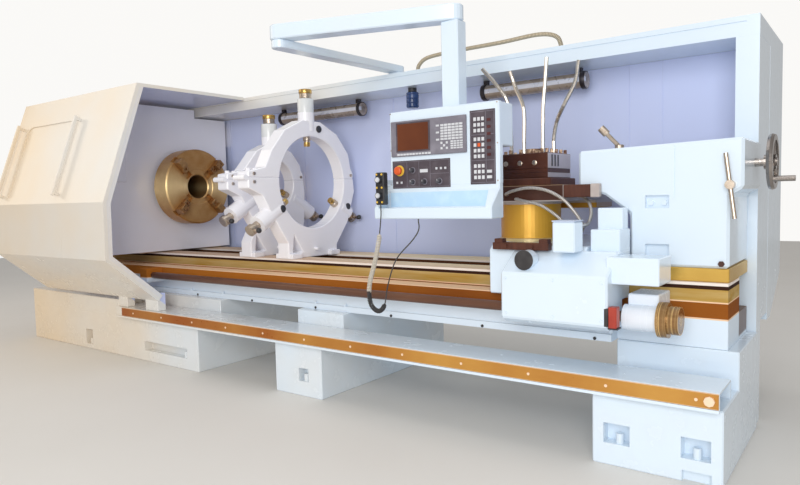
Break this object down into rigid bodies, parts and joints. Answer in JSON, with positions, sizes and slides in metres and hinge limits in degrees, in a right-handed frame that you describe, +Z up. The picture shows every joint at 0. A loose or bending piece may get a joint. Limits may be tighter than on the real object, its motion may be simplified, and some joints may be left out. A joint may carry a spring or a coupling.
{
  "type": "cnc turning lathe",
  "caption": "Long flat-bed numerically controlled turning lathe with sliding guard door, four-jaw chuck, steady rests, tool turret carriage, tailstock and swinging operator console.",
  "frame": {"origin": "middle of the middle foot's underside, on the floor below the spindle line", "axes": "+X along the bed towards the tailstock, +Y to the back, +Z up"},
  "size_m": [5.985, 2.1838, 2.214],
  "materials": {
    "white_enamel": "gloss white enamel",
    "lavender_enamel": "pale blue inner paint",
    "ground_steel": "ground and oiled",
    "dark_steel": "blackened tool steel",
    "bronze": "scraped bronze",
    "lamp_tube": "clear tube",
    "screen_grey": "dark grey bezel",
    "black_plastic": "black moulded",
    "red_plastic": "red-orange",
    "hose_metal": "silver braided hose",
    "cord_cream": "cream jacket"
  },
  "bodies": {
    "base": {"foot_headstock": "white_enamel", "foot_middle": "white_enamel", "foot_tailstock": "white_enamel", "bed": "ground_steel", "rail_tray": "white_enamel", "rail_strip": "ground_steel", "headstock": "white_enamel", "headstock_wall": "lavender_enamel", "rear_guard": "white_enamel", "splash_panel": "lavender_enamel", "work_lamp_left": "lamp_tube", "work_lamp_right": "lamp_tube", "screw_bearing": "white_enamel", "arm_conduit": "hose_metal"},
    "door": {"sliding_door": "white_enamel", "door_handle_left": "white_enamel", "door_handle_right": "white_enamel"},
    "spindle_unit": {"spindle": "ground_steel", "chuck_body": "ground_steel"},
    "jaw_1": {"chuck_jaw_1": "ground_steel"},
    "jaw_2": {"chuck_jaw_2": "ground_steel"},
    "jaw_3": {"chuck_jaw_3": "ground_steel"},
    "jaw_4": {"chuck_jaw_4": "ground_steel"},
    "feed_screw": {"ball_screw": "ground_steel"},
    "carriage": {"saddle": "white_enamel", "cross_guide": "ground_steel", "way_wiper": "dark_steel", "lube_box": "white_enamel", "coolant_hose_1": "hose_metal", "coolant_hose_2": "hose_metal", "coolant_hose_3": "hose_metal"},
    "cross_unit": {"cross_slide": "dark_steel"},
    "turret_unit": {"tool_turret": "dark_steel", "coolant_pipe_1": "hose_metal", "coolant_pipe_2": "hose_metal", "coolant_pipe_3": "hose_metal", "coolant_pipe_4": "hose_metal"},
    "tailstock": {"tailstock_base": "bronze", "tailstock_body": "white_enamel"},
    "quill": {"tailstock_quill": "ground_steel"},
    "hand_wheel": {"handwheel": "ground_steel"},
    "lock_lever": {"quill_lock_lever": "dark_steel"},
    "clamp": {"clamp_lever": "ground_steel"},
    "steady_right": {"steady_right_lower": "white_enamel"},
    "steady_right_top": {"steady_right_upper": "white_enamel"},
    "steady_right_q1": {"steady_right_quill_1": "ground_steel"},
    "steady_right_q2": {"steady_right_quill_2": "ground_steel"},
    "steady_right_q3": {"steady_right_quill_3": "ground_steel"},
    "steady_left": {"steady_left_lower": "white_enamel"},
    "steady_left_top": {"steady_left_upper": "white_enamel"},
    "steady_left_q1": {"steady_left_quill_1": "ground_steel"},
    "steady_left_q2": {"steady_left_quill_2": "ground_steel"},
    "steady_left_q3": {"steady_left_quill_3": "ground_steel"},
    "arm_low": {"arm_lower_link": "white_enamel"},
    "arm_top": {"arm_upper_link": "white_enamel"},
    "console": {"console_case": "white_enamel", "screen_unit": "screen_grey", "hand_pendant": "black_plastic", "pendant_cord": "cord_cream"},
    "stop": {"stop_button": "red_plastic"}
  },
  "joints": [
    {"name": "door_slide", "type": "slide", "parent": "base", "child": "door", "axis": [1, 0, 0], "range_m": [0, 1.15]},
    {"name": "spindle_turn", "type": "hinge", "parent": "base", "child": "spindle_unit", "pos_m": [-1.82, 0, 1.338], "axis": [1, 0, 0], "continuous": true},
    {"name": "jaw_1_slide", "type": "slide", "parent": "spindle_unit", "child": "jaw_1", "axis": [0, 0.7071, 0.7071], "range_m": [-0.06, 0.03]},
    {"name": "jaw_2_slide", "type": "slide", "parent": "spindle_unit", "child": "jaw_2", "axis": [0, -0.7071, 0.7071], "range_m": [-0.06, 0.03]},
    {"name": "jaw_3_slide", "type": "slide", "parent": "spindle_unit", "child": "jaw_3", "axis": [0, -0.7071, -0.7071], "range_m": [-0.06, 0.03]},
    {"name": "jaw_4_slide", "type": "slide", "parent": "spindle_unit", "child": "jaw_4", "axis": [0, 0.7071, -0.7071], "range_m": [-0.06, 0.03]},
    {"name": "carriage_slide", "type": "slide", "parent": "base", "child": "carriage", "axis": [1, 0, 0], "range_m": [-1.4, 0]},
    {"name": "screw_turn", "type": "hinge", "parent": "base", "child": "feed_screw", "pos_m": [0.38, -0.52, 0.64], "axis": [1, 0, 0], "range_deg": [-42010, 10]},
    {"name": "cross_feed", "type": "slide", "parent": "carriage", "child": "cross_unit", "axis": [0, 1, 0], "range_m": [-0.1, 0.25]},
    {"name": "turret_index", "type": "hinge", "parent": "cross_unit", "child": "turret_unit", "pos_m": [1.295, -0.065, 1.3], "axis": [0, 0, 1], "continuous": true},
    {"name": "tailstock_slide", "type": "slide", "parent": "base", "child": "tailstock", "axis": [1, 0, 0], "range_m": [-0.05, 0]},
    {"name": "quill_feed", "type": "slide", "parent": "tailstock", "child": "quill", "axis": [-1, 0, 0], "range_m": [-0.1, 0.05]},
    {"name": "handwheel_turn", "type": "hinge", "parent": "tailstock", "child": "hand_wheel", "pos_m": [2.465, 0, 1.328], "axis": [1, 0, 0], "range_deg": [-5990, 2990]},
    {"name": "quill_lock_turn", "type": "hinge", "parent": "tailstock", "child": "lock_lever", "pos_m": [1.825, -0.21, 1.4176], "axis": [0, 0, 1], "range_deg": [-60, 30]},
    {"name": "clamp_turn", "type": "hinge", "parent": "tailstock", "child": "clamp", "pos_m": [2.34, -0.2903, 1.225], "axis": [0, 1, 0], "range_deg": [-8, 50]},
    {"name": "steady_right_slide", "type": "slide", "parent": "base", "child": "steady_right", "axis": [1, 0, 0], "range_m": [-0.1, 0.3]},
    {"name": "steady_right_open", "type": "hinge", "parent": "steady_right", "child": "steady_right_top", "pos_m": [-0.524, -0.63, 1.36015], "axis": [-1, 0, 0], "range_deg": [-22, 0]},
    {"name": "steady_right_quill_1_feed", "type": "slide", "parent": "steady_right_top", "child": "steady_right_q1", "axis": [0, 0, 1], "range_m": [-0.1, 0.015]},
    {"name": "steady_right_quill_2_feed", "type": "slide", "parent": "steady_right", "child": "steady_right_q2", "axis": [0, 0.866, -0.5], "range_m": [-0.045, 0.015]},
    {"name": "steady_right_quill_3_feed", "type": "slide", "parent": "steady_right", "child": "steady_right_q3", "axis": [0, -0.866, -0.5], "range_m": [-0.045, 0.015]},
    {"name": "steady_left_slide", "type": "slide", "parent": "base", "child": "steady_left", "axis": [1, 0, 0], "range_m": [-0.15, 0.1]},
    {"name": "steady_left_open", "type": "hinge", "parent": "steady_left", "child": "steady_left_top", "pos_m": [-0.92, -0.4825, 1.36015], "axis": [-1, 0, 0], "range_deg": [-22, 0]},
    {"name": "steady_left_quill_1_feed", "type": "slide", "parent": "steady_left_top", "child": "steady_left_q1", "axis": [0, 0, 1], "range_m": [-0.1, 0.015]},
    {"name": "steady_left_quill_2_feed", "type": "slide", "parent": "steady_left", "child": "steady_left_q2", "axis": [0, 0.866, -0.5], "range_m": [-0.045, 0.015]},
    {"name": "steady_left_quill_3_feed", "type": "slide", "parent": "steady_left", "child": "steady_left_q3", "axis": [0, -0.866, -0.5], "range_m": [-0.045, 0.015]},
    {"name": "arm_base_turn", "type": "hinge", "parent": "base", "child": "arm_low", "pos_m": [0.11, 0.275, 2.09], "axis": [0, 0, -1], "range_deg": [0, 35]},
    {"name": "arm_elbow_turn", "type": "hinge", "parent": "arm_low", "child": "arm_top", "pos_m": [0.06, -0.79, 2.13], "axis": [0, 0, -1], "range_deg": [0, 30]},
    {"name": "console_swivel", "type": "hinge", "parent": "arm_top", "child": "console", "pos_m": [1.035, -0.47, 2.13], "axis": [0, 0, -1], "range_deg": [-2, 15]},
    {"name": "stop_press", "type": "slide", "parent": "console", "child": "stop", "axis": [0, 1, 0], "range_m": [0, 0.005], "stiffness_N_per_m": 400, "springref_m": -0.002}
  ],
  "couplings": [
    {"joint": "screw_turn", "follows": "carriage_slide", "rad_per_m": 523.6},
    {"joint": "quill_feed", "follows": "handwheel_turn", "m_per_rad": 0.00095493}
  ]
}
